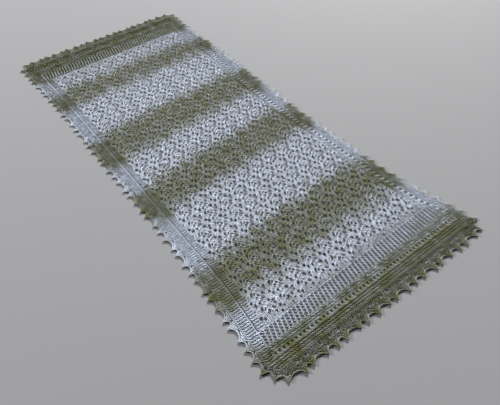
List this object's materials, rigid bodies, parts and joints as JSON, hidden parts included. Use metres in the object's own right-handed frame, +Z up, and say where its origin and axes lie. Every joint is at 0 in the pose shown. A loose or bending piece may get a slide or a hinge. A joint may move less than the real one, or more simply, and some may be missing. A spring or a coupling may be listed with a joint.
{
  "type": "lace scarf",
  "caption": "Rectangular openwork knitted scarf laid flat, with a lace centre, net and eyelet bands at its ends and a toothed edging all round.",
  "frame": {"origin": "the middle of the laid scarf's bounding box, on the surface that it lies on", "axes": "+Y along the scarf towards the end farther from the viewer, +X across it to the right, +Z up out of the cloth"},
  "size_m": [0.5404, 1.1602, 0.0022],
  "materials": {
    "silver": "soft matt yarn with a fine halo, dyed in bands of silver white and khaki olive",
    "pale_olive": "soft matt yarn with a fine halo, pale greenish grey",
    "olive": "soft matt yarn with a fine halo, khaki olive"
  },
  "bodies": {
    "root": {"lace_panel": "silver", "side_strip_left": "silver", "side_strip_right": "silver", "edging_left": "silver", "edging_right": "silver", "mesh_band_far": "pale_olive", "mesh_band_near": "pale_olive", "eyelet_band_far": "olive", "eyelet_band_near": "olive", "edging_far": "olive", "edging_near": "olive"}
  },
  "joints": []
}
